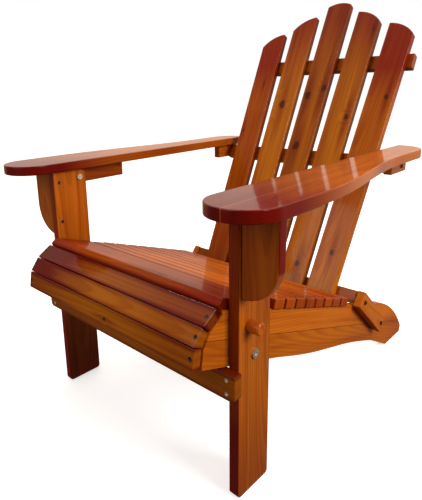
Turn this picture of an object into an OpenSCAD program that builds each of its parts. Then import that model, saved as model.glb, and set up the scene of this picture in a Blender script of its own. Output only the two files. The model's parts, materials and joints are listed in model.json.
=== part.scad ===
// Folding adirondack chair.
// Frame: the chair faces -Y, +X is the sitter's left, +Z is up, and the floor
// is z = 0. Lengths along Y are first laid out from the legs' front edges, and
// chair() then moves each piece so that the footprint is centred on the origin.

/* [Boards] */
// Thickness of every board in the frame
board_t = 20; // [18:0.5:21]
// Thickness of the two arms
arm_t = 21; // [18:1:26]
// Distance from the middle of the chair to a leg's inner face
leg_x = 258; // [250:1:275]
// Gap between two boards that turn on each other
turn_gap = 1; // [0.5:0.25:1.5]

/* [Legs] */
// Width of a front leg, front to back
leg_w = 90; // [86:1:92]
// Height of a front leg
leg_h = 541; // [535:1:550]
// Height of the stretcher board that joins the legs
stretcher_h = 50; // [40:1:60]
// How far each end of the stretcher stands past its leg
stretcher_over = 8; // [0:1:12]
// Width of a corbel bracket, from the leg outwards
bracket_w = 70; // [50:1:75]
// Height of a corbel bracket
bracket_h = 154; // [120:1:170]

/* [Seat] */
// Slope of the seat down towards the back, in degrees
seat_slope = 18.8; // [18.4:0.1:19]
// Depth of a side rail, square to its top edge
rail_w = 98; // [92:1:99]
// Thickness of the seat slats
slat_t = 20; // [18:0.5:20]
// Width of a narrow slat
narrow_w = 36; // [28:1:37]
// Distance from one narrow slat to the next
narrow_pitch = 40.9; // [40:0.1:41]
// Width of the wide front slat
wide_w = 110; // [100:1:111]

/* [Back] */
// Lean of the back from upright, in degrees
recline = 27.2; // [26.5:0.1:28]
// Width of a back slat
back_slat_w = 71; // [60:1:76]
// Spacing of the back slats at their lower ends
back_pitch = 85; // [80:1:86]
// Angle that each slat fans out from its neighbour, in degrees
fan = 1.07; // [0.9:0.01:1.1]
// Length of the middle back slat
back_len = 835; // [800:1:860]

/* [Arms] */
// Width of an arm where it is widest
arm_w = 127; // [110:1:135]
// Width of an arm at the back
arm_tail_w = 77; // [60:1:90]
// Length of an arm
arm_len = 800; // [780:1:820]
// How far the arm's round front end stands in front of the leg
arm_front = 85; // [60:1:87]

/* [Hardware] */
// Diameter of the pivot bolts
bolt_d = 8; // [6:0.5:9]
// Diameter of the dowel pegs that lock the fold
peg_d = 23; // [20:1:27]
// How far a peg stands out of its leg
peg_out = 25; // [20:1:40]
// Radial running clearance of a bolt or a peg in the board that turns on it
run = 0.06; // [0.04:0.01:0.1]
// Head diameter of the countersunk wood screws
screw_head = 8.5; // [7:0.5:9]

/* [Hidden] */
$fn = 48;

light_wood = "#c8702d";
amber_wood = "#9a5410";
red_wood = "#7a2608";
nickel = "#b8a878";
dark_steel = "#3a2f2a";

// A point in a side view is [y, z], with y measured from the legs' front edges.
cl = cos(seat_slope);
tl = tan(seat_slope);

// Side rails
rail_x0 = leg_x - turn_gap - board_t;  // inner face
rail_x1 = leg_x - turn_gap;            // outer face
rail_top_z = 363.9;                    // top edge at y = 0
rail_low_z = rail_top_z - rail_w / cl; // bottom edge at y = 0
tail_y = 590;                          // where the top edge starts to fall away
tail_end = [812, 17];                  // and where it ends
tail_bow = 26;                         // rise of that curve over a straight line
belly_y = [150, 600];                  // the bottom edge is a shallow S between these
belly = 4;                             // height of the S
foot_y = [705, 806];                   // the flat foot
function top_at(y) = [y, rail_top_z - tl * y];
function low_at(y) = [y, rail_low_z - tl * y];

// Pivots and the peg
pivot_leg = [45, 274];
pivot_arm = [leg_w - 19, leg_h - 19];
pivot_back = [496, 208];
rear_rise = 349;                       // from the lower pivot up to the arms' pivot
link_span = 144;                       // between a fold link's two holes
link_tilt = -41.5;                     // its slope, down towards the back
pivot_rear = pivot_back + rear_rise * [sin(recline), cos(recline)];
pivot_link = pivot_back + link_span * [cos(link_tilt), sin(link_tilt)];
peg_at = [30, 333];
peg_socket = 12;                       // depth of the peg's socket in the rail

// Front of the seat. The nose slats' outer faces follow this line, from below.
nose_line = [[-87.5, 289], [-81, 327], [-60, 355.5], [-26, 376.5]];
nose_gap = 1.5;                        // gap between two nose slats
wide_y = -22.4;                        // where the wide slat is laid out from
wide_nose = [[6.5, slat_t], [-2.5, 7], [1.5, 0]];  // its slanted front, along and up from there
first_y = wide_y + (wide_w + 5) * cl;  // first narrow slat's lower front edge
slat_over = 6;                         // narrow slats' ends past the rails
front_half = leg_x - 4;                // half length of the slats between the legs

// Legs
foot_round = 8;                        // rounding of a leg's lower corners
bracket_back = 6;                      // brackets stand this far behind the leg's front
stretcher_top = 259.5;                 // just under the side rails

// Arms
arm_z = leg_h + turn_gap;
arm_in = leg_x - 14;                   // inner edge
arm_rear = arm_len - arm_front;
elbow_y = 90;                          // where the outer edge starts to curve in
tail_from = 540;                       // where it runs straight again
tail_round = 70;                       // rounding of the outer rear corner
cleat_y = [34, 222];
cleat_z = arm_z - 39;
cleat_x0 = leg_x + board_t + turn_gap;  // inner face
block_y = [pivot_rear[0] - 60, pivot_rear[0] + 31];
block_z = arm_z - 38;

// Back
half_t = board_t / 2;
slat_low = 15;                         // slats' lower ends below the lower pivot
lower_batten = [-10.5, 22];            // its edges, from the lower pivot
middle_batten = [rear_rise - 20, rear_rise + 20];
top_batten = [612, 652];
corner_drop = [9, 37, 84];             // a slat's inner top corner below the tallest
corner_fall = [0, 37, 36];             // its outer top corner below the inner one
crown = 9;                             // rise of a slat's top over its corners

// Fold links
link_w = 42;
link_end = 15;                         // board past each hole

// Fasteners
slat_screw = 38;
batten_screw = 34;
board_screw = 45;
arm_bite = 12;                         // how far a screw from below reaches into an arm
rim = 0.1;                             // depth of the straight rim round a screw's head
insert_wall = 2;                       // wall of a threaded insert
insert_len = 16;
small_head = 10;                       // head diameter of the bolts at the back
head_gap = 0.3;                        // play under the head of a bolt that turns

// The footprint runs from the lower nose slat to the middle back slat's top.
chair_front = nose_line[0][0];
chair_rear = pivot_back[0] + (back_len - slat_low) * sin(recline) - half_t * cos(recline);
middle_y = (chair_front + chair_rear) / 2;

// ---------- helpers ----------

module chair() { translate([0, -middle_y, 0]) children(); }

module other_side() { mirror([1, 0, 0]) children(); }

module both_sides() {
  children();
  other_side() children();
}

// A board drawn in the side view and extruded from x0 to x0 + t.
module side(x0, t) { translate([x0, 0, 0]) rotate([90, 0, 90]) linear_extrude(t) children(); }

// A round bar along +X at a side-view point.
module bar_x(at, x0, x1, d) {
  translate([x0, at[0], at[1]]) rotate([0, 90, 0]) cylinder(d = d, h = x1 - x0);
}

// Points of an arc about c, from angle a to angle b.
function arc(c, r, a, b, n = 10) =
  [for (k = [0:n]) let (t = a + (b - a) * k / n) c + r * [cos(t), sin(t)]];

// Points of a shallow arc from p to q that rises by h on the left of that line.
function bow(p, q, h, n = 12) =
  let (half = norm(q - p) / 2, r = (half * half + h * h) / (2 * h), along = (q - p) / (2 * half),
       up = [-along[1], along[0]], c = (p + q) / 2 - (r - h) * up, spread = asin(half / r))
  [for (k = [0:n]) let (a = -spread + 2 * spread * k / n) c + r * (sin(a) * along + cos(a) * up)];

// A local frame on a line in the side view: y runs along it and z stands up from it.
module on_line(at, tilt) { translate([0, at[0], at[1]]) rotate([tilt, 0, 0]) children(); }

// The back's frame: y runs up the back from the lower pivot and z faces forward.
module on_back() { on_line(pivot_back, 90 - recline) children(); }

// A countersunk screw with its head flush at the origin, pointing down. The same
// shape with a little height above the head cuts its hole.
module screw(len, above = 0) {
  sink = screw_head / 4;
  translate([0, 0, -sink]) cylinder(d1 = screw_head / 2, d2 = screw_head, h = sink);
  translate([0, 0, -len]) cylinder(d = screw_head / 2, h = len - sink);
  if (above > 0) translate([0, 0, -rim]) cylinder(d = screw_head, h = above + rim);
}

// A bolt head with a hexagon socket, from x0 outwards.
module bolt_head(at, x0, d = 17, t = 3.5) {
  difference() {
    bar_x(at, x0, x0 + t, d);
    translate([x0 + t / 3, at[0], at[1]]) rotate([0, 90, 0]) cylinder(d = d * 0.42, h = t, $fn = 6);
  }
}

// ---------- fasteners, as laid out in the wood ----------

module seat_screw_layout(above = 0) {
  rail_mid = (rail_x0 + rail_x1) / 2;
  for (x = [-rail_mid, rail_mid]) {
    for (i = [0:2]) nose_frame(i) translate([x, 0, 0]) screw(slat_screw, above);
    for (share = [0.25, 0.75])
      on_line(top_at(wide_y), -seat_slope) translate([x, wide_w * share, slat_t]) screw(slat_screw, above);
    for (i = [1:9])
      on_line(top_at(slat_y(i)), -seat_slope) translate([x, narrow_w / 2, slat_t]) screw(slat_screw, above);
  }
}

module back_screw_layout(above = 0) {
  for (k = [-2:2], band = [lower_batten, middle_batten, top_batten], e = [-18, 18]) {
    v = (band[0] + band[1]) / 2;
    x = k * back_pitch + (v + slat_low) * sin(k * fan) + e;
    on_back() translate([x, v, -half_t]) rotate([180, 0, 0]) screw(batten_screw, above);
  }
}

module stretcher_screw_layout(above = 0) {
  for (x = [-1, 1] * (leg_x + half_t), z = [stretcher_top - 12, stretcher_top - stretcher_h + 12])
    translate([x, -board_t, z]) rotate([90, 0, 0]) screw(board_screw, above);
}

module bracket_screw_layout(above = 0) {
  for (z = [leg_h - 26, leg_h - 120])
    translate([leg_x, bracket_back + 9, z]) rotate([0, -90, 0]) screw(board_screw, above);
}

module arm_screw_layout(above = 0) {
  cleat_x = cleat_x0 + half_t;
  for (y = [cleat_y[0] + 70, cleat_y[1] - 25])
    translate([cleat_x, y, cleat_z]) rotate([180, 0, 0]) screw(arm_z - cleat_z + arm_bite, above);
  for (y = [block_y[0] + 14, block_y[1] - 10])
    translate([leg_x + half_t, y, block_z]) rotate([180, 0, 0]) screw(arm_z - block_z + arm_bite, above);
}

// ---------- seat frame ----------

// Where narrow slat i starts, at its lower front edge.
function slat_y(i) = first_y + (i - 1) * narrow_pitch * cl;

// Unit normal of nose face i, pointing into the chair.
function nose_in(i) = let (d = nose_line[i + 1] - nose_line[i]) [d[1], -d[0]] / norm(d);

// The nose line moved in by one slat thickness, with mitred corners.
function nose_inner(i) =
  i == 0 ? nose_line[0] + slat_t * nose_in(0)
  : i == 3 ? nose_line[3] + slat_t * nose_in(2)
  : let (a = nose_in(i - 1), b = nose_in(i)) nose_line[i] + slat_t * (a + b) / (1 + a * b);

// A frame in the middle of nose face i, with z pointing out of the chair.
module nose_frame(i) {
  d = nose_line[i + 1] - nose_line[i];
  on_line((nose_line[i] + nose_line[i + 1]) / 2, atan2(d[1], d[0])) children();
}

module rail_outline() {
  polygon(concat(
    [for (i = [0:3]) nose_inner(i)],
    [top_at(nose_inner(3)[0] + 1)],
    bow(top_at(tail_y), tail_end, tail_bow),
    [[foot_y[1], 0], [foot_y[0], 0]],
    [for (k = [16:-1:0]) let (y = belly_y[0] + (belly_y[1] - belly_y[0]) * k / 16)
      low_at(y) - [0, belly * sin(360 * k / 16)]],
    [low_at(nose_inner(0)[0])]));
}

module rail_board() {
  difference() {
    side(rail_x0, board_t) rail_outline();
    bar_x(pivot_leg, rail_x0 - 1, rail_x1 + 1, bolt_d);
    bar_x(pivot_link, rail_x0 + 5, rail_x1 + 1, bolt_d);
    bar_x(peg_at, rail_x1 - peg_socket, rail_x1 + 1, peg_d + 2 * run);
    seat_screw_layout(1);
  }
}

module side_rail_left() { color(light_wood) chair() rail_board(); }

module side_rail_right() { color(light_wood) chair() other_side() rail_board(); }

// Nose slat i, with its mitred edges eased by half the gap.
module nose_slat(i) {
  outer = [nose_line[i], nose_line[i + 1]];
  inner = [nose_inner(i), nose_inner(i + 1)];
  ease = nose_gap / 2 * (outer[1] - outer[0]) / norm(outer[1] - outer[0]);
  color(red_wood) chair() difference() {
    side(-front_half, 2 * front_half)
      polygon([outer[0] + ease, outer[1] - ease, inner[1] - ease, inner[0] + ease]);
    seat_screw_layout(1);
  }
}

module seat_board(y, w, half) {
  difference() {
    on_line(top_at(y), -seat_slope) translate([-half, 0, 0]) cube([2 * half, w, slat_t]);
    seat_screw_layout(1);
  }
}

// The wide slat's front is slanted, to carry on the round of the nose.
module seat_slat_wide() {
  color(amber_wood) chair() difference() {
    on_line(top_at(wide_y), -seat_slope) side(-front_half, 2 * front_half)
      polygon(concat(wide_nose, [[wide_w, 0], [wide_w, slat_t]]));
    seat_screw_layout(1);
  }
}

// The first narrow slat fits between the legs, and the others reach past the rails.
module seat_slat(i) {
  half = i == 1 ? front_half : rail_x1 + slat_over;
  color(amber_wood) chair() seat_board(slat_y(i), narrow_w, half);
}

// ---------- legs ----------

module leg_outline() {
  polygon(concat(
    arc([foot_round, foot_round], foot_round, 180, 270, 6),
    arc([leg_w - foot_round, foot_round], foot_round, 270, 360, 6),
    arc(pivot_arm, leg_w - pivot_arm[0], 0, 90, 9),
    [[0, leg_h]]));
}

module leg_board() {
  difference() {
    side(leg_x, board_t) leg_outline();
    bar_x(pivot_leg, leg_x - 1, leg_x + board_t + 1, bolt_d + 2 * run);
    bar_x(pivot_arm, leg_x - 1, leg_x + board_t + 1, bolt_d);
    bar_x(peg_at, leg_x - 1, leg_x + board_t + 1, peg_d + 2 * run);
    bracket_screw_layout(1);
    stretcher_screw_layout(1);
  }
}

module leg_left() { color(light_wood) chair() leg_board(); }

module leg_right() { color(light_wood) chair() other_side() leg_board(); }

module front_stretcher() {
  half = leg_x + board_t + stretcher_over;
  low = stretcher_top - stretcher_h;
  r = 10;
  color(red_wood) chair() difference() {
    rotate([90, 0, 0]) linear_extrude(board_t) polygon(concat(
      arc([-half + r, low + r], r, 180, 270, 6),
      arc([half - r, low + r], r, 270, 360, 6),
      [[half, stretcher_top], [-half, stretcher_top]]));
    stretcher_screw_layout(1);
  }
}

module bracket_board() {
  x0 = leg_x + board_t;
  difference() {
    translate([x0, bracket_back + board_t, 0]) rotate([90, 0, 0]) linear_extrude(board_t)
      polygon(concat(
        [[0, leg_h], [0, leg_h - bracket_h]],
        arc([0, leg_h - bracket_h + bracket_w], bracket_w, 275, 360, 14),
        [[bracket_w, leg_h]]));
    bracket_screw_layout(1);
  }
}

module corbel_bracket_left() { color(red_wood) chair() bracket_board(); }

module corbel_bracket_right() { color(red_wood) chair() other_side() bracket_board(); }

// ---------- arms ----------

module arm_outline() {
  front_r = arm_w / 2;
  front_y = front_r - arm_front;
  tail_x = arm_in + arm_tail_w;
  wide_x = arm_in + arm_w;
  polygon(concat(
    arc([arm_in + front_r, front_y], front_r, 180, 360, 24),
    [for (k = [0:16]) [
      (wide_x + tail_x) / 2 + (wide_x - tail_x) / 2 * cos(180 * k / 16),
      elbow_y + (tail_from - elbow_y) * k / 16]],
    arc([tail_x - tail_round, arm_rear - tail_round], tail_round, 0, 90, 10),
    [[arm_in, arm_rear]]));
}

module arm_board() {
  difference() {
    translate([0, 0, arm_z]) linear_extrude(arm_t) arm_outline();
    arm_screw_layout();
  }
}

module cleat_board() {
  x0 = cleat_x0;
  difference() {
    translate([x0, cleat_y[0], cleat_z]) cube([board_t, cleat_y[1] - cleat_y[0], arm_z - cleat_z]);
    bar_x(pivot_arm, x0 - 1, x0 + insert_len, bolt_d + 2 * insert_wall);
    arm_screw_layout(1);
  }
}

module rear_block_board() {
  difference() {
    translate([leg_x, block_y[0], block_z])
      cube([board_t, block_y[1] - block_y[0], arm_z - block_z]);
    bar_x(pivot_rear, leg_x - 1, leg_x + board_t + 1, bolt_d + 2 * run);
    arm_screw_layout(1);
  }
}

module arm_left() { color(light_wood) chair() arm_board(); }

module arm_right() { color(light_wood) chair() other_side() arm_board(); }

module arm_front_cleat_left() { color(amber_wood) chair() cleat_board(); }

module arm_front_cleat_right() { color(amber_wood) chair() other_side() cleat_board(); }

module arm_rear_block_left() { color(amber_wood) chair() rear_block_board(); }

module arm_rear_block_right() { color(amber_wood) chair() other_side() rear_block_board(); }

// ---------- back ----------

// Back slat i of 5, counted from the sitter's right.
module back_slat(i) {
  k = i - 3;
  n = abs(k);
  half = back_slat_w / 2;
  high = back_len - corner_drop[n];
  low = high - corner_fall[n];
  tops = k < 0 ? [low, high] : [high, low];
  color(amber_wood) chair() difference() {
    on_back() translate([k * back_pitch, -slat_low, half_t]) rotate([0, 0, -k * fan])
      linear_extrude(slat_t) polygon(concat(
        [[-half, 0]],
        bow([-half, tops[0]], [half, tops[1]], crown),
        [[half, 0]]));
    back_screw_layout(1);
  }
}

module batten(band, half) {
  color(red_wood) chair() difference() {
    on_back() translate([-half, band[0], -half_t]) cube([2 * half, band[1] - band[0], board_t]);
    back_screw_layout(1);
    both_sides() {
      bar_x(pivot_back, rail_x1 - 30, rail_x1 + 1, bolt_d);
      bar_x(pivot_rear, rail_x1 - insert_len, rail_x1 + 1, bolt_d + 2 * insert_wall);
    }
  }
}

module batten_top() { batten(top_batten, arm_in - 1); }

module batten_middle() { batten(middle_batten, rail_x1); }

module batten_lower() { batten(lower_batten, rail_x1); }

// ---------- fold links and pegs ----------

module link_board() {
  difference() {
    side(leg_x, board_t) translate(pivot_back) rotate(link_tilt)
      translate([-link_end, -link_w / 2]) square([norm(pivot_link - pivot_back) + 2 * link_end, link_w]);
    for (at = [pivot_back, pivot_link]) bar_x(at, leg_x - 1, leg_x + board_t + 1, bolt_d + 2 * run);
  }
}

module back_link_left() { color(amber_wood) chair() link_board(); }

module back_link_right() { color(amber_wood) chair() other_side() link_board(); }

module peg_shape() {
  bevel = 2;
  x1 = leg_x + board_t + peg_out;
  bar_x(peg_at, leg_x, x1 - bevel, peg_d);
  translate([x1 - bevel, peg_at[0], peg_at[1]]) rotate([0, 90, 0])
    cylinder(d1 = peg_d, d2 = peg_d - 2 * bevel, h = bevel);
}

module locking_peg_left() { color(light_wood) chair() peg_shape(); }

module locking_peg_right() { color(light_wood) chair() other_side() peg_shape(); }

// ---------- metal ----------

// From inside the rail, through the leg, to a flanged nut outside.
module leg_pivot_bolts() {
  color(nickel) chair() both_sides() {
    bar_x(pivot_leg, rail_x0 - 5, rail_x0, 14);
    bar_x(pivot_leg, rail_x0, leg_x + board_t + head_gap, bolt_d);
    bolt_head(pivot_leg, leg_x + board_t + head_gap);
  }
}

// From inside the leg, towards the insert in the arm's front cleat. The bolt stops
// at the leg's outer face, because this is the pivot that is left open.
module arm_pivot_bolts() {
  color(nickel) chair() both_sides() {
    bar_x(pivot_arm, leg_x - 4, leg_x, 14);
    bar_x(pivot_arm, leg_x, leg_x + board_t, bolt_d);
  }
}

// Threaded inserts in the inner faces of the front cleats, on the same axis.
module cleat_inserts() {
  color(nickel) chair() both_sides() difference() {
    bar_x(pivot_arm, cleat_x0, cleat_x0 + insert_len, bolt_d + 2 * insert_wall);
    bar_x(pivot_arm, cleat_x0 - 1, cleat_x0 + insert_len - insert_wall, bolt_d);
  }
}

// Through the link and into the end of the lower batten.
module back_pivot_bolts() {
  color(nickel) chair() both_sides() {
    bar_x(pivot_back, rail_x1 - 30, leg_x + board_t + head_gap, bolt_d);
    bolt_head(pivot_back, leg_x + board_t + head_gap, small_head, 2);
  }
}

// Through the link and into the side rail.
module link_pivot_bolts() {
  color(nickel) chair() both_sides() {
    bar_x(pivot_link, rail_x0 + 5, leg_x + board_t + head_gap, bolt_d);
    bolt_head(pivot_link, leg_x + board_t + head_gap, small_head, 2);
  }
}

// Through the arm's rear block, which turns on it, and into the middle batten's insert.
module arm_rear_bolts() {
  color(nickel) chair() both_sides() {
    bar_x(pivot_rear, rail_x1 - insert_len + insert_wall, leg_x + board_t + head_gap, bolt_d);
    bolt_head(pivot_rear, leg_x + board_t + head_gap, small_head, 2);
  }
}

// Threaded inserts in the ends of the middle batten.
module batten_inserts() {
  color(nickel) chair() both_sides() difference() {
    bar_x(pivot_rear, rail_x1 - insert_len, rail_x1, bolt_d + 2 * insert_wall);
    bar_x(pivot_rear, rail_x1 - insert_len + insert_wall, rail_x1 + 1, bolt_d);
  }
}

module seat_screws() { color(dark_steel) chair() seat_screw_layout(); }

module back_screws() { color(dark_steel) chair() back_screw_layout(); }

module stretcher_screws() { color(dark_steel) chair() stretcher_screw_layout(); }

module bracket_screws() { color(dark_steel) chair() both_sides() bracket_screw_layout(); }

module arm_screws() { color(dark_steel) chair() both_sides() arm_screw_layout(); }

side_rail_left();
side_rail_right();
nose_slat(0);  // nose_slat_lower
nose_slat(1);  // nose_slat_middle
nose_slat(2);  // nose_slat_upper
seat_slat_wide();
seat_slat(1);  // seat_slat_1
seat_slat(2);  // seat_slat_2
seat_slat(3);  // seat_slat_3
seat_slat(4);  // seat_slat_4
seat_slat(5);  // seat_slat_5
seat_slat(6);  // seat_slat_6
seat_slat(7);  // seat_slat_7
seat_slat(8);  // seat_slat_8
seat_slat(9);  // seat_slat_9
leg_left();
leg_right();
front_stretcher();
corbel_bracket_left();
corbel_bracket_right();
arm_left();
arm_right();
arm_front_cleat_left();
arm_front_cleat_right();
arm_rear_block_left();
arm_rear_block_right();
back_slat(1);  // back_slat_1
back_slat(2);  // back_slat_2
back_slat(3);  // back_slat_3
back_slat(4);  // back_slat_4
back_slat(5);  // back_slat_5
batten_top();
batten_middle();
batten_lower();
back_link_left();
back_link_right();
locking_peg_left();
locking_peg_right();
leg_pivot_bolts();
arm_pivot_bolts();
back_pivot_bolts();
link_pivot_bolts();
arm_rear_bolts();
cleat_inserts();
batten_inserts();
seat_screws();
back_screws();
stretcher_screws();
bracket_screws();
arm_screws();
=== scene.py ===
import json
import math
import random

import bmesh
import bpy
from mathutils import Matrix, Vector

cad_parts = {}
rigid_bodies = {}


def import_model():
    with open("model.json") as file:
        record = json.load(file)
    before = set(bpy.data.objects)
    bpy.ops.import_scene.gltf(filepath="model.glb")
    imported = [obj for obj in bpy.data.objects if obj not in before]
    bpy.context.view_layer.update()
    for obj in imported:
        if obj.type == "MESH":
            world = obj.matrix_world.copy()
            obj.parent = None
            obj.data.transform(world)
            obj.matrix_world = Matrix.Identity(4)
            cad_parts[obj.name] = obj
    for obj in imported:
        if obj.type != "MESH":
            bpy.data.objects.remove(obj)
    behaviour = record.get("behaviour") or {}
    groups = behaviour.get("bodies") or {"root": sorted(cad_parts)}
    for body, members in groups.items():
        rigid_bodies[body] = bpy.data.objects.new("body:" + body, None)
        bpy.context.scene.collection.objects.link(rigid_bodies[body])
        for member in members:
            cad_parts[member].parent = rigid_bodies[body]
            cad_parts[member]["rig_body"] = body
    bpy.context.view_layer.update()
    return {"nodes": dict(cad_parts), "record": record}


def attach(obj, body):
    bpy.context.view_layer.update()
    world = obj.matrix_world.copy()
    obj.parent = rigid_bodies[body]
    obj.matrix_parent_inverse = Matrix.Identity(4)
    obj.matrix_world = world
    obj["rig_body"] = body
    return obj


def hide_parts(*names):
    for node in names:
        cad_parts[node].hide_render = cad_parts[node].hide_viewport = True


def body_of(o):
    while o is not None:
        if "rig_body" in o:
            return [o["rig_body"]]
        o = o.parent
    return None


# Folding adirondack chair in varnished softwood. Every board is rebuilt from its
# CAD node with rounded corners and carries its own grain, and every screw is
# turned as a lathe profile with a socket. Lengths are in metres.

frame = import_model()
nodes = frame["nodes"]
slots = {row["node"]: row["material_slot"] for row in frame["record"]["subparts"]}

WELD = 1e-6                # points closer than this are one point
FLAT = math.radians(0.5)   # faces within this angle are one flat face
CORNER = math.radians(30)  # an edge sharper than this is a corner
HOLE = 0.020               # a ring of corners smaller than this is a screw or bolt hole
ROUND_OVER = 0.0024        # how far a board's corners are rounded
ROUND_STEPS = 3
KNOTS = 3                  # knots that one board can have
NOWHERE = 9.0              # a place that is on no board
NO_KNOT = (NOWHERE, NOWHERE, 0.001)

TURNED = 24                # points round a screw
SOCKET = 0.42              # a screw's socket over its head
TIP = 0.004                # length of a screw's point

RINGS = 250.0              # growth rings in a metre
VARNISH = 0.34             # roughness of the varnished wood
GLUE_LINE = (0.0009, 0.0003)  # half width of a glue line, faint and full
WHITE = (1.0, 1.0, 1.0, 1.0)

# Camera: its place, its turns in radians, and its lens.
CAMERA_AT = (0.7139, -0.9543, 0.7216)
YAW, PITCH, ROLL = 0.786, 0.242, -0.029
FOCAL_MM, SENSOR_MM = 34.46, 36.0
SHIFT = (0.0664, -0.0872)

# Studio: light from behind and above, and the lights' places, sizes and powers.
BRIGHT_SIDE = Vector((-0.35, 0.62, 0.70)).normalized()
DIM, BRIGHT = 0.10, 1.0
AIM = (0.0, 0.0, 0.45)
LIGHTS = {
    "key": ((2.6, 0.2, 1.7), 1.5, 72.0),
    "top": ((-0.4, 0.6, 3.2), 2.4, 40.0),
    "front": ((-0.6, -3.2, 1.5), 2.6, 42.0),
}
FLOOR_SIZE = 8.0
FLOOR_DROP = 0.0005        # the floor is this far under the feet

# Knots on each board: place along it and across it, each from -1 to 1, and radius.
KNOTS_ON = {
    "back_slat_1": [(0.14, 0.7, 0.004), (0.55, -0.2, 0.003)],
    "back_slat_2": [(0.29, 0.05, 0.011), (-0.55, 0.3, 0.004)],
    "back_slat_3": [(0.35, -0.7, 0.009), (0.30, 0.55, 0.010), (-0.07, 0.30, 0.011)],
    "back_slat_4": [(0.2, -0.6, 0.0065), (0.85, -0.7, 0.004), (-0.84, -0.2, 0.007)],
    "back_slat_5": [(0.43, -0.5, 0.006), (-0.7, -0.1, 0.0065)],
    "seat_slat_wide": [(0.38, -0.6, 0.009), (-0.45, -0.2, 0.004), (0.72, 0.35, 0.005)],
    "nose_slat_lower": [(0.1, -0.3, 0.004)],
    "seat_slat_4": [(0.4, 0.0, 0.005)],
    "arm_left": [(-0.62, 0.5, 0.005)],
    "arm_right": [(0.35, -0.4, 0.006)],
    "leg_right": [(0.1, 0.3, 0.005)],
    "side_rail_right": [(0.2, 0.4, 0.006)],
}

# Where a board is glued up from two, across it from -1 to 1.
GLUED_AT = {
    "arm_left": 0.06,
    "arm_right": -0.06,
    "side_rail_left": -0.12,
    "side_rail_right": 0.1,
    "leg_left": 0.35,
}

# Stain on a board: all over it, at its low end and at its high end. The grain runs
# towards +X, up, or from the rear to the front, and that way is towards the high end.
STAIN = {
    "arm_": (0.25, 0.0, 0.85),
    "arm_front_cleat": (0.15, 0.35, 0.2),
    "arm_rear_block": (0.1, 0.1, 0.1),
    "back_link": (0.0, 0.1, 0.1),
    "back_slat": (0.04, 0.0, 0.85),
    "back_slat_1": (0.62, 0.0, 0.6),
    "back_slat_3": (0.28, -0.1, 0.6),
    "back_slat_5": (0.48, -0.5, 1.0),
    "batten_": (0.45, 0.2, 0.2),
    "batten_lower": (0.25, 0.3, 0.3),
    "corbel_bracket_left": (0.15, 0.2, 0.2),
    "corbel_bracket_right": (0.0, 0.2, 0.1),
    "front_stretcher": (0.3, 0.2, 0.1),
    "leg_left": (0.04, 0.45, 0.1),
    "leg_right": (0.05, 0.8, 0.0),
    "locking_peg": (0.35, 0.1, 0.1),
    "nose_slat_lower": (0.18, 0.45, 0.3),
    "nose_slat_middle": (0.2, 0.9, 0.2),
    "nose_slat_upper": (0.42, 0.9, 0.35),
    "seat_slat": (0.15, 0.45, 0.45),
    "seat_slat_wide": (0.55, 0.4, 0.45),
    "side_rail": (0.0, 0.3, 0.1),
}


def stain_of(node):
    """The stain of the longest name in STAIN that the node's name starts with."""
    return STAIN[max((key for key in STAIN if node.startswith(key)), key=len)]


# ---------- shader graphs ----------


class Graph:
    """Adds shader nodes to one new material and joins them up."""

    def __init__(self, name):
        self.material = bpy.data.materials.new(name)
        self.material.use_nodes = True
        self.tree = self.material.node_tree
        self.shader = self.tree.nodes["Principled BSDF"]

    def put(self, socket, value):
        if isinstance(value, bpy.types.NodeSocket):
            self.tree.links.new(value, socket)
        else:
            socket.default_value = value

    def add(self, kind, inputs, **settings):
        node = self.tree.nodes.new("ShaderNode" + kind)
        for key, value in settings.items():
            setattr(node, key, value)
        for key, value in inputs.items():
            self.put(node.inputs[key], value)
        return node

    def math(self, operation, *values):
        return self.add("Math", dict(enumerate(values)), operation=operation).outputs[0]

    def total(self, *values):
        result = values[0]
        for value in values[1:]:
            result = self.math("ADD", result, value)
        return result

    def times(self, *values):
        result = values[0]
        for value in values[1:]:
            result = self.math("MULTIPLY", result, value)
        return result

    def distance(self, x, y):
        return self.math("SQRT", self.total(self.times(x, x), self.times(y, y)))

    def attribute(self, name):
        return self.add("Attribute", {}, attribute_name=name).outputs["Vector"]

    def split(self, vector):
        return tuple(self.add("SeparateXYZ", {0: vector}).outputs)

    def join(self, x, y, z):
        return self.add("CombineXYZ", {0: x, 1: y, 2: z}).outputs[0]

    def noise(self, vector, detail=2.0, roughness=0.5):
        inputs = {"Vector": vector, "Scale": 1.0, "Detail": detail, "Roughness": roughness}
        return self.add("TexNoise", inputs).outputs[0]

    def step(self, value, start, end, low=0.0, high=1.0):
        """Goes smoothly from low to high as value goes from start to end."""
        inputs = {0: value, 1: start, 2: end, 3: low, 4: high}
        return self.add("MapRange", inputs, interpolation_type="SMOOTHSTEP").outputs[0]

    def mix(self, factor, a, b, blend="MIX"):
        inputs = {0: factor, 6: a, 7: b}
        return self.add("Mix", inputs, data_type="RGBA", blend_type=blend).outputs[2]

    def grey(self, value):
        return self.join(value, value, value)

    def bump(self, height, strength, distance):
        inputs = {"Height": height, "Strength": strength, "Distance": distance}
        return self.add("Bump", inputs).outputs[0]

    def finish(self, **inputs):
        for key, value in inputs.items():
            self.put(self.shader.inputs[key.replace("_", " ")], value)
        return self.material


def rgb(red, green, blue):
    return (red, green, blue, 1.0)


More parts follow.
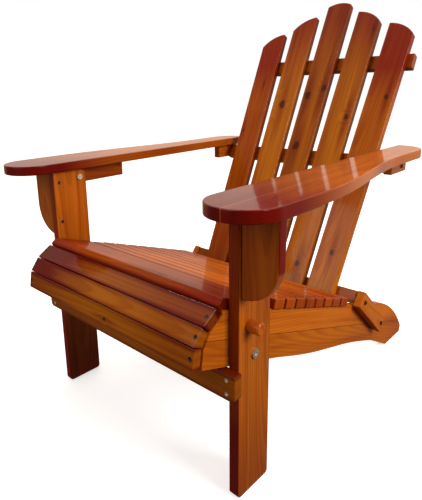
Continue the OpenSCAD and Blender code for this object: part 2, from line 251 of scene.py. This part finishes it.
class WoodGraph(Graph):
    """A graph that knows what a board's mesh says at each of its points."""

    def __init__(self, name):
        super().__init__(name)
        self.along, self.across, self.depth = self.split(self.attribute("grain"))
        self.half_along, self.half_across, _ = self.split(self.attribute("half"))
        seed_a, self.seed_b, self.seed_c = self.split(self.attribute("seed"))
        self.all_over, self.low_end, self.high_end = self.split(self.attribute("stain"))
        self.glue, self.dark_line, _ = self.split(self.attribute("glue"))
        # The two sides of a glue line are different boards.
        past_glue = self.math("GREATER_THAN", self.across, self.glue)
        self.seed_a = self.math("FRACT", self.total(seed_a, self.times(past_glue, 0.37)))

    def grainy(self, along, across, third, **settings):
        """Noise stretched along the grain: its frequency along and across the
        board, and its third coordinate."""
        x = self.times(self.along, along)
        y = self.times(self.across, across)
        return self.noise(self.join(x, y, third), **settings)


def heart_distance(g):
    """Distance from the tree's heart, which lies below the board and drifts along it."""
    place = g.join(
        g.math("MULTIPLY_ADD", g.along, 2.2, g.times(g.seed_b, 40.0)),
        g.math("MULTIPLY_ADD", g.across, 11.0, g.times(g.seed_a, 30.0)),
        g.times(g.depth, 11.0),
    )
    sway = g.math("MULTIPLY_ADD", g.noise(place), 0.030, -0.015)
    heart_x = g.math("MULTIPLY_ADD", g.seed_a, 0.09, -0.045)
    heart_z = g.math("MULTIPLY_ADD", g.seed_c, -0.05, -0.022)
    drift = g.times(g.along, g.math("MULTIPLY_ADD", g.seed_b, 0.10, -0.05))
    side = g.total(g.across, g.times(heart_x, -1.0), sway)
    down = g.total(g.depth, g.times(heart_z, -1.0), drift)
    return g.distance(side, down)


def add_knots(g, radius):
    """Knots push the rings aside. Each has a ragged dark core, and a streak of
    darker grain before and after it. Returns the pushed radius, core and streak."""
    ragged = g.grainy(160.0, 160.0, g.seed_c)
    core = 0.0
    halo = 0.0
    for i in range(KNOTS):
        knot_u, knot_v, knot_r = g.split(g.attribute(f"knot_{i}"))
        du = g.times(g.math("SUBTRACT", g.along, knot_u), 0.72)
        dv = g.math("SUBTRACT", g.across, knot_v)
        near = g.math("DIVIDE", g.distance(du, dv), knot_r)
        edge = g.math("MULTIPLY_ADD", ragged, 0.9, g.math("SUBTRACT", near, 0.45))
        core = g.math("MAXIMUM", core, g.step(edge, 1.15, 0.55))
        tail = g.distance(g.times(du, 0.20), dv)
        halo = g.math("MAXIMUM", halo, g.step(g.math("DIVIDE", tail, knot_r), 2.2, 0.3))
        spread = g.times(near, 0.5)
        swell = g.math("EXPONENT", g.times(spread, spread, -1.0))
        radius = g.math("MULTIPLY_ADD", g.times(swell, knot_r), 1.7, radius)
    return radius, core, halo


def ring_bands(g, radius):
    """The dark part of each growth ring."""
    wander = g.noise(g.join(g.times(radius, 70.0), g.seed_b, g.seed_c))
    rings = g.math("FRACT", g.total(g.times(radius, RINGS), wander, g.seed_a))
    return g.times(g.step(rings, 0.3, 0.86), g.step(rings, 1.0, 0.93))


def bare_wood(g, early, late, band, fibre):
    """Colour of the wood before stain, from rings, streaks and fibre."""
    streak = g.grainy(2.2, 60.0, g.total(g.seed_b, g.seed_a), detail=3.0)
    broad = g.grainy(1.1, 17.0, g.total(g.seed_c, g.seed_a))
    colour = g.mix(g.times(band, 0.34), early, late)
    colour = g.mix(g.step(streak, 0.40, 0.78, 0.0, 0.6), colour, late)
    colour = g.mix(g.step(broad, 0.42, 0.72, 0.0, 0.5), colour, late)
    tone = g.total(g.times(fibre, 0.26), g.times(g.seed_a, 0.24), 0.74)
    return g.mix(1.0, colour, g.grey(tone), "MULTIPLY")


def stain_amount(g, end_reach, edges, edge_reach):
    """How much stain is at a point: cloudy, and darker at the ends and edges."""
    cloud = g.grainy(7.0, 16.0, g.times(g.seed_b, 9.0))
    drawn = g.math("MULTIPLY_ADD", cloud, 0.10, -0.05)
    from_low = g.total(g.half_along, g.along, drawn)
    from_high = g.total(g.math("SUBTRACT", g.half_along, g.along), drawn)
    from_edge = g.math("SUBTRACT", g.half_across, g.math("ABSOLUTE", g.across))
    at_low = g.times(g.step(from_low, end_reach, 0.0), g.low_end)
    at_high = g.times(g.step(from_high, end_reach, 0.0), g.high_end)
    to_edge = g.math("MULTIPLY_ADD", drawn, 0.05, from_edge)
    at_edge = g.step(to_edge, edge_reach, 0.0, 0.0, edges)
    patch = g.math("MULTIPLY_ADD", cloud, 0.4, -0.2)
    stain = g.total(at_low, at_high, at_edge, patch, g.all_over)
    return g.math("MINIMUM", g.math("MAXIMUM", stain, 0.0), 1.0)


def mark(g, colour, core, halo):
    """Paints the knots, and the pale or dark line where two boards are glued."""
    shade = g.mix(1.0, colour, rgb(0.55, 0.30, 0.2), "MULTIPLY")
    colour = g.mix(g.times(halo, 0.75), colour, shade)
    colour = g.mix(g.times(core, 0.88), colour, KNOT)
    from_glue = g.math("ABSOLUTE", g.math("SUBTRACT", g.across, g.glue))
    line = g.mix(g.dark_line, PALE_LINE, DARK_LINE)
    strength = g.times(g.step(from_glue, *GLUE_LINE), g.step(g.dark_line, 0.0, 1.0, 0.45, 0.85))
    return g.mix(strength, colour, line)


def wood(name, early, late, dye, end_reach, edges, edge_reach, gloss=0.8):
    """Varnished softwood. early and late are the colours of a growth ring's two
    parts. dye is the stain that darkens ends over end_reach and edges over
    edge_reach, and edges says how much of it the edges take."""
    g = WoodGraph(name)
    radius, core, halo = add_knots(g, heart_distance(g))
    band = ring_bands(g, radius)
    fibre = g.grainy(26.0, 900.0, g.times(g.depth, 900.0), detail=3.0, roughness=0.65)
    colour = bare_wood(g, early, late, band, fibre)
    stained = g.mix(1.0, colour, dye, "MULTIPLY")
    colour = g.mix(stain_amount(g, end_reach, edges, edge_reach), colour, stained)
    relief = g.total(fibre, g.times(band, 0.6), g.times(core, 1.4))
    orange_peel = g.grainy(55.0, 90.0, g.times(g.depth, 90.0))
    return g.finish(
        Base_Color=mark(g, colour, core, halo),
        Roughness=g.math("MULTIPLY_ADD", fibre, 0.2, VARNISH),
        Specular_IOR_Level=0.04,
        Normal=g.bump(relief, 0.3, 0.0002),
        Coat_Weight=gloss,
        Coat_IOR=1.36,
        Coat_Roughness=0.07,
        Coat_Normal=g.bump(orange_peel, 0.2, 0.0006),
    )


def metal(name, bright, dull, roughness):
    """Plated or blackened steel, with fine pitting and dull patches."""
    g = Graph(name)
    here = g.add("TexCoord", {}).outputs["Object"]
    scaled = g.add("VectorMath", {0: here, 3: 420.0}, operation="SCALE").outputs[0]
    wear = g.noise(scaled, detail=4.0, roughness=0.6)
    return g.finish(
        Base_Color=g.mix(g.step(wear, 0.35, 0.7), bright, dull),
        Metallic=1.0,
        Roughness=g.math("MULTIPLY_ADD", wear, 0.25, roughness),
        Normal=g.bump(wear, 0.2, 0.0001),
    )


HONEY = rgb(0.57, 0.142, 0.006)
AMBER = rgb(0.50, 0.152, 0.004)
TAN = rgb(0.27, 0.038, 0.001)
RED_DYE = rgb(0.50, 0.110, 0.02)
DARK_DYE = rgb(0.30, 0.020, 0.01)
KNOT = rgb(0.045, 0.008, 0.002)
PALE_LINE = rgb(0.55, 0.24, 0.06)
DARK_LINE = rgb(0.05, 0.008, 0.002)

materials = {
    "seat_wood": wood("seat_wood", HONEY, TAN, RED_DYE, 0.16, 0.30, 0.003, gloss=0.25),
    "nose_wood": wood("nose_wood", AMBER, TAN, DARK_DYE, 0.26, 0.45, 0.010, gloss=0.6),
    "leg_wood": wood("leg_wood", HONEY, TAN, DARK_DYE, 0.26, 0.75, 0.0022),
    "arm_wood": wood("arm_wood", HONEY, TAN, DARK_DYE, 0.34, 0.10, 0.012, gloss=0.7),
    "back_wood": wood("back_wood", AMBER, TAN, RED_DYE, 0.26, 0.0, 0.010, gloss=0.6),
    "peg_wood": wood("peg_wood", HONEY, TAN, RED_DYE, 0.02, 0.0, 0.010),
    "screw_steel": metal("screw_steel", rgb(0.10, 0.07, 0.05), rgb(0.03, 0.02, 0.015), 0.35),
    "bolt_nickel": metal("bolt_nickel", rgb(0.85, 0.80, 0.66), rgb(0.55, 0.47, 0.34), 0.34),
}


# ---------- boards ----------


def rings_of(edges):
    """Groups of corner edges that share points."""
    leader = {}

    def find(vert):
        while leader.setdefault(vert, vert) is not vert:
            vert = leader[vert]
        return vert

    for edge in edges:
        leader[find(edge.verts[0])] = find(edge.verts[1])
    groups = {}
    for edge in edges:
        groups.setdefault(find(edge.verts[0]), []).append(edge)
    return list(groups.values())


def extent(edges):
    points = [v.co for e in edges for v in e.verts]
    return max(max(p[i] for p in points) - min(p[i] for p in points) for i in range(3))


def clean_copy(node):
    """A CAD node as flat faces rather than triangles."""
    mesh = bmesh.new()
    mesh.from_mesh(nodes[node].data)
    bmesh.ops.remove_doubles(mesh, verts=mesh.verts, dist=WELD)
    bmesh.ops.dissolve_limit(mesh, angle_limit=FLAT, verts=mesh.verts, edges=mesh.edges)
    return mesh


def board_axes(mesh):
    """Along the grain, across the face and through the thickness."""
    through = max(mesh.faces, key=lambda f: f.calc_area()).normal.copy()
    flat_edges = []
    for edge in mesh.edges:
        direction = edge.verts[1].co - edge.verts[0].co
        sharp = len(edge.link_faces) == 2 and edge.calc_face_angle() > CORNER
        if sharp and abs(direction.normalized().dot(through)) < 0.01:
            flat_edges.append(direction)
    along = max(flat_edges, key=lambda d: d.length).normalized()
    if along.dot(Vector((0.9, -0.5, 1.0))) < 0:
        along.negate()
    if through.dot(Vector((1.0, -0.8, 0.9))) < 0:
        through.negate()
    return along, through.cross(along), through


def set_attribute(mesh, name, values):
    layer = mesh.attributes.new(name, "FLOAT_VECTOR", "POINT")
    layer.data.foreach_set("vector", [c for value in values for c in value])


def new_piece(name, mesh, material, node):
    data = bpy.data.meshes.new(name)
    mesh.to_mesh(data)
    mesh.free()
    piece = bpy.data.objects.new(name, data)
    bpy.context.scene.collection.objects.link(piece)
    data.materials.append(material)
    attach(piece, body_of(nodes[node])[0])
    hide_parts(node)
    return piece


def round_corners(mesh):
    """Rounds every corner but those of screw and bolt holes."""
    corners = [e for e in mesh.edges if len(e.link_faces) == 2 and e.calc_face_angle() > CORNER]
    outer = [e for ring in rings_of(corners) if extent(ring) > HOLE for e in ring]
    bmesh.ops.bevel(
        mesh, geom=outer, offset=ROUND_OVER, segments=ROUND_STEPS, profile=0.5,
        affect="EDGES", clamp_overlap=True,
    )
    for face in mesh.faces:
        face.smooth = True
    for edge in mesh.edges:
        edge.smooth = len(edge.link_faces) == 2 and edge.calc_face_angle() < CORNER


def board(node):
    """A board with rounded corners that knows its own grain, knots and glue line."""
    mesh = clean_copy(node)
    axes = Matrix(board_axes(mesh))
    round_corners(mesh)
    local = [axes @ v.co for v in mesh.verts]
    low = Vector([min(p[i] for p in local) for i in range(3)])
    high = Vector([max(p[i] for p in local) for i in range(3)])
    middle, half = (low + high) / 2, (high - low) / 2

    piece = new_piece(node + "_board", mesh, materials[slots[node]], node)
    chance = random.Random("board " + node)
    seed = [chance.random() for _ in range(3)]
    knots = [(u * half.x, v * half.y, r) for u, v, r in KNOTS_ON.get(node, [])]
    knots += [NO_KNOT] * (KNOTS - len(knots))
    dark_line = float(node.startswith("side_rail"))
    glue = (GLUED_AT.get(node, NOWHERE) * half.y, dark_line, 0.0)
    set_attribute(piece.data, "grain", [p - middle for p in local])
    same_all_over = {"half": half, "seed": seed, "stain": stain_of(node), "glue": glue}
    same_all_over.update({f"knot_{i}": knot for i, knot in enumerate(knots)})
    for name, value in same_all_over.items():
        set_attribute(piece.data, name, [value] * len(local))
    normals = piece.modifiers.new("even_normals", "WEIGHTED_NORMAL")
    normals.keep_sharp = True


# ---------- screws ----------


def screw_places(node):
    """Head centre, outward axis, head radius and length of each screw of a node."""
    mesh = clean_copy(node)
    places = []
    for ring in rings_of(list(mesh.edges)):
        faces = {f for e in ring for f in e.link_faces}
        head = max(faces, key=lambda f: (len(f.verts) > 6, f.calc_area()))
        centre = head.calc_center_bounds()
        axis = head.normal.copy()
        radius = max((v.co - centre).length for v in head.verts)
        length = max((centre - v.co).dot(axis) for f in faces for v in f.verts)
        places.append((centre, axis, radius, length))
    mesh.free()
    return places


def turn(mesh, centre, axis, profile):
    """Turns a profile of (radius, height, hexagonal) points about an axis."""
    spin = axis.to_track_quat("Z", "Y").to_matrix()
    loops = []
    for radius, height, hexagonal in profile:
        loop = []
        for k in range(TURNED):
            angle = math.tau * k / TURNED
            reach = radius
            if hexagonal:
                reach /= math.cos((angle + math.pi / 6) % (math.pi / 3) - math.pi / 6)
            point = Vector((reach * math.cos(angle), reach * math.sin(angle), height))
            loop.append(mesh.verts.new(centre + spin @ point))
        loops.append(loop)
    for low, high in zip(loops, loops[1:]):
        for k in range(TURNED):
            n = (k + 1) % TURNED
            mesh.faces.new((low[k], low[n], high[n], high[k]))
    mesh.faces.new(loops[0][::-1])
    mesh.faces.new(loops[-1])


def screws(node):
    """Countersunk socket screws in place of a node's plain ones."""
    mesh = bmesh.new()
    for centre, axis, r, length in screw_places(node):
        turn(mesh, centre, axis, [
            (r * 0.12, -length, False),
            (r * 0.46, -length + TIP, False),
            (r * 0.46, -r / 2, False),
            (r * 0.94, -r * 0.07, False),
            (r * 0.97, -r * 0.02, False),
            (r * 0.90, 0.0, False),
            (r * SOCKET * 1.1, 0.0, True),
            (r * SOCKET, -r * 0.06, True),
            (r * SOCKET, -r * 0.45, True),
        ])
    for edge in mesh.edges:
        edge.smooth = edge.calc_face_angle() < CORNER
    for face in mesh.faces:
        face.smooth = True
    new_piece(node + "_turned", mesh, materials[slots[node]], node)


for node in sorted(nodes):
    if node.endswith("_screws"):
        screws(node)
    elif slots[node].endswith("_wood"):
        board(node)
    else:
        nodes[node].data.materials.clear()
        nodes[node].data.materials.append(materials[slots[node]])


# ---------- studio ----------


def floor():
    """A pale floor, left out of reflections and bounced light."""
    mesh = bmesh.new()
    bmesh.ops.create_grid(mesh, x_segments=1, y_segments=1, size=FLOOR_SIZE)
    data = bpy.data.meshes.new("floor")
    mesh.to_mesh(data)
    mesh.free()
    plane = bpy.data.objects.new("floor", data)
    plane.location.z = -FLOOR_DROP
    bpy.context.scene.collection.objects.link(plane)
    g = Graph("pale_floor")
    pale = g.finish(
        Base_Color=rgb(0.8, 0.8, 0.8),
        Roughness=0.8,
        Emission_Color=WHITE,
        Emission_Strength=0.62,
    )
    data.materials.append(pale)
    plane.visible_glossy = False
    plane.visible_diffuse = False


def area_light(name, at, size, watts):
    light = bpy.data.lights.new(name, "AREA")
    light.shape = "SQUARE"
    light.size = size
    light.energy = watts
    lamp = bpy.data.objects.new(name, light)
    lamp.location = at
    lamp.rotation_euler = (Vector(AIM) - Vector(at)).to_track_quat("-Z", "Y").to_euler()
    bpy.context.scene.collection.objects.link(lamp)


def camera():
    """At a seated person's height, close to the chair's left front corner."""
    ahead = math.cos(PITCH)
    forward = Vector((-math.sin(YAW) * ahead, math.cos(YAW) * ahead, -math.sin(PITCH)))
    level = forward.cross(Vector((0.0, 0.0, 1.0))).normalized()
    upright = level.cross(forward)
    right = math.cos(ROLL) * level + math.sin(ROLL) * upright
    up = math.cos(ROLL) * upright - math.sin(ROLL) * level
    lens = bpy.data.cameras.new("camera")
    lens.sensor_fit = "VERTICAL"
    lens.sensor_height = SENSOR_MM
    lens.lens = FOCAL_MM
    lens.shift_x, lens.shift_y = SHIFT
    view = bpy.data.objects.new("camera", lens)
    turned = Matrix((right, up, -forward)).transposed().to_4x4()
    view.matrix_world = Matrix.Translation(CAMERA_AT) @ turned
    bpy.context.scene.collection.objects.link(view)
    bpy.context.scene.camera = view


def surroundings():
    """Soft light from all round, brighter behind the chair and overhead. The
    backdrop itself is white wherever it is seen directly."""
    world = bpy.data.worlds.new("studio")
    world.use_nodes = True
    tree = world.node_tree
    out = tree.nodes["World Output"]
    soft = tree.nodes["Background"]
    direction = tree.nodes.new("ShaderNodeTexCoord")
    facing = tree.nodes.new("ShaderNodeVectorMath")
    facing.operation = "DOT_PRODUCT"
    facing.inputs[1].default_value = BRIGHT_SIDE
    tree.links.new(direction.outputs["Generated"], facing.inputs[0])
    level = tree.nodes.new("ShaderNodeMapRange")
    level.interpolation_type = "SMOOTHSTEP"
    for socket, value in zip(level.inputs[1:5], (-0.2, 0.95, DIM, BRIGHT)):
        socket.default_value = value
    tree.links.new(facing.outputs["Value"], level.inputs[0])
    tree.links.new(level.outputs[0], soft.inputs["Strength"])
    white = tree.nodes.new("ShaderNodeBackground")
    seen = tree.nodes.new("ShaderNodeLightPath")
    either = tree.nodes.new("ShaderNodeMixShader")
    tree.links.new(seen.outputs["Is Camera Ray"], either.inputs[0])
    tree.links.new(soft.outputs[0], either.inputs[1])
    tree.links.new(white.outputs[0], either.inputs[2])
    tree.links.new(either.outputs[0], out.inputs["Surface"])
    white.inputs["Color"].default_value = WHITE
    soft.inputs["Color"].default_value = rgb(1.0, 0.82, 0.68)
    bpy.context.scene.world = world


def studio():
    floor()
    camera()
    surroundings()
    for name, (at, size, watts) in LIGHTS.items():
        area_light(name, at, size, watts)
    bpy.context.scene.view_settings.view_transform = "Standard"


studio()
